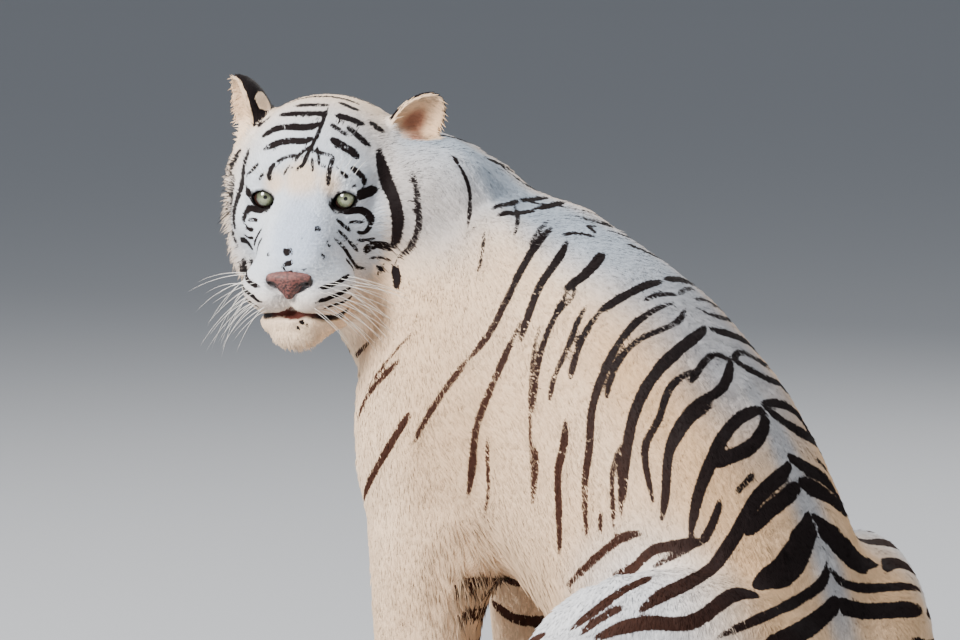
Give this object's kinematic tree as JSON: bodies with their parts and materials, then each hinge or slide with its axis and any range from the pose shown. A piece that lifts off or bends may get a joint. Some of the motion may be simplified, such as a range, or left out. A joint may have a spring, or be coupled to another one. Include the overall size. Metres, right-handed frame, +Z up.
{
  "type": "white tiger",
  "caption": "Life-size still white tiger sitting upright on its haunches, head turned to look over its left shoulder, tail laid round its right side.",
  "frame": {"origin": "on the floor, under the middle of the model's box", "axes": "+Z up; -Y the way the chest and the paws face; +X the tiger's own left"},
  "size_m": [0.7902, 1.0774, 1.0418],
  "materials": {
    "coat": "short dense fur, creamy white with black and brown stripes",
    "ears": "thin skin with short fur, pinkish brown inside, black and white behind",
    "eyes": "wet, clear and glossy over a pale grey-green iris",
    "nose": "bare pinkish-brown skin, finely grained and slightly moist"
  },
  "bodies": {
    "root": {"head": "coat", "neck": "coat", "chest": "coat", "trunk": "coat", "rump": "coat", "foreleg_left": "coat", "foreleg_right": "coat", "front_paw_left": "coat", "front_paw_right": "coat", "hindleg_left": "coat", "hindleg_right": "coat", "hind_foot_left": "coat", "hind_foot_right": "coat", "tail_base": "coat", "tail_middle": "coat", "tail_tip": "coat", "ear_left": "ears", "ear_right": "ears", "eye_left": "eyes", "eye_right": "eyes", "nose": "nose"}
  },
  "joints": []
}
